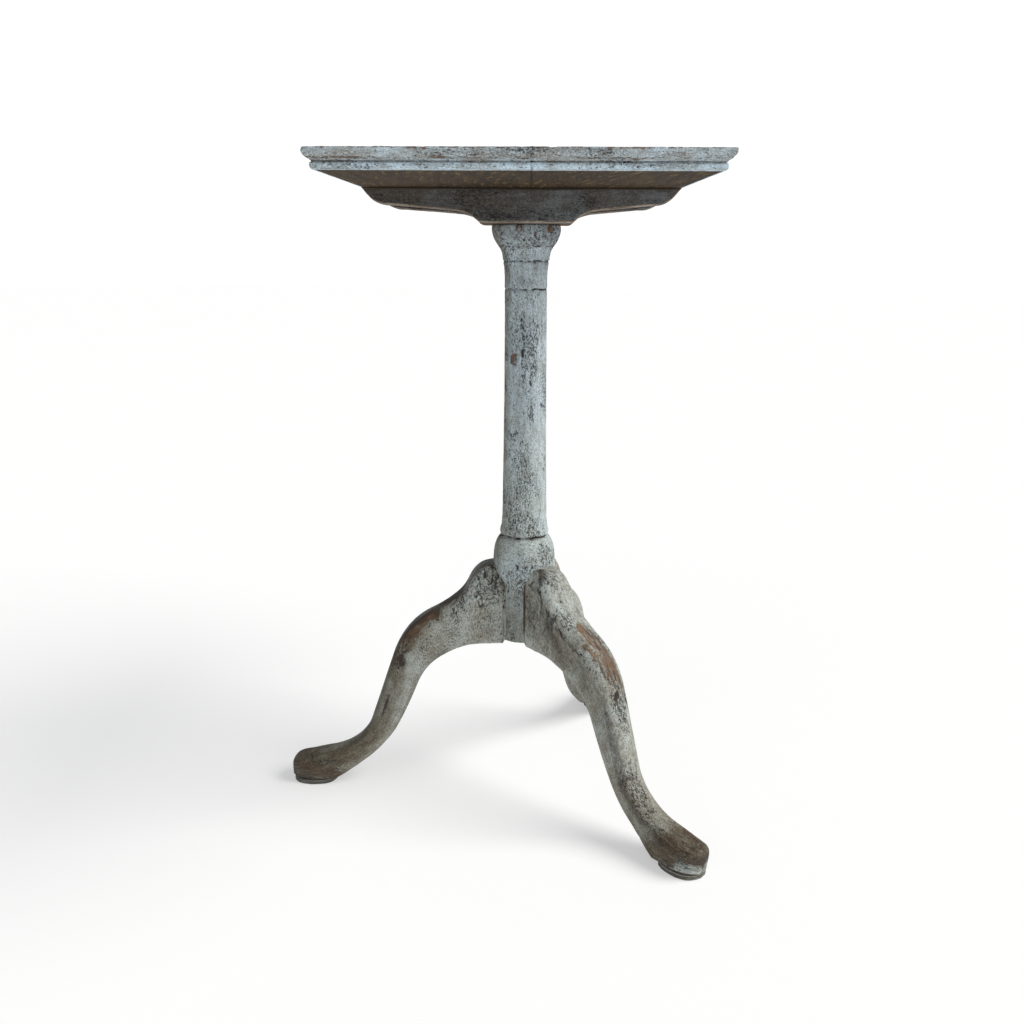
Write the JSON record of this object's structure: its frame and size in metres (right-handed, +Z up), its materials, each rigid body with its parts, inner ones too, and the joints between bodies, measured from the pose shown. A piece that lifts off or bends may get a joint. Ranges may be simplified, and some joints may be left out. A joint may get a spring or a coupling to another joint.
{
  "type": "tilt top table",
  "caption": "Tilt top pedestal table: a moulded two-board top on shaped bearers pivots on a block above a turned column with cabriole legs.",
  "frame": {"origin": "on the floor, at the middle of the footprint's bounding box, under the top", "axes": "+X along the bearers, away from the catch and towards the pivots; +Z up; the front of the table faces -Y"},
  "size_m": [0.486, 0.656, 0.722],
  "materials": {
    "board_paint": "worn grey-blue paint over bare wood",
    "bearer_paint": "dark worn grey paint over brown wood",
    "column_paint": "crackled pale blue-grey paint",
    "leg_paint": "crackled grey-green paint, worn to brown wood on the knees and feet",
    "bare_wood": "bare aged wood",
    "iron": "dark wrought iron",
    "brass": "tarnished brass"
  },
  "bodies": {
    "base": {"column": "column_paint", "pivot_block": "bare_wood", "tenon_wedge": "bare_wood", "pivot_pins": "iron", "leg_left": "leg_paint", "leg_front": "leg_paint", "leg_rear": "leg_paint", "keeper_plate": "brass", "keeper_screws": "brass"},
    "top": {"top_board_left": "board_paint", "top_board_right": "board_paint", "bearer_front": "bearer_paint", "bearer_rear": "bearer_paint", "bearer_screws": "iron", "catch_plate": "brass", "catch_screws": "brass"},
    "catch": {"catch_bolt": "iron", "catch_knob": "brass"}
  },
  "joints": [
    {"name": "top_tilt", "type": "hinge", "parent": "base", "child": "top", "pos_m": [0.075, 0, 0.688], "axis": [0, 1, 0], "range_deg": [0, 90]},
    {"name": "catch_slide", "type": "slide", "parent": "top", "child": "catch", "axis": [1, 0, 0], "range_m": [0, 0.012]}
  ]
}
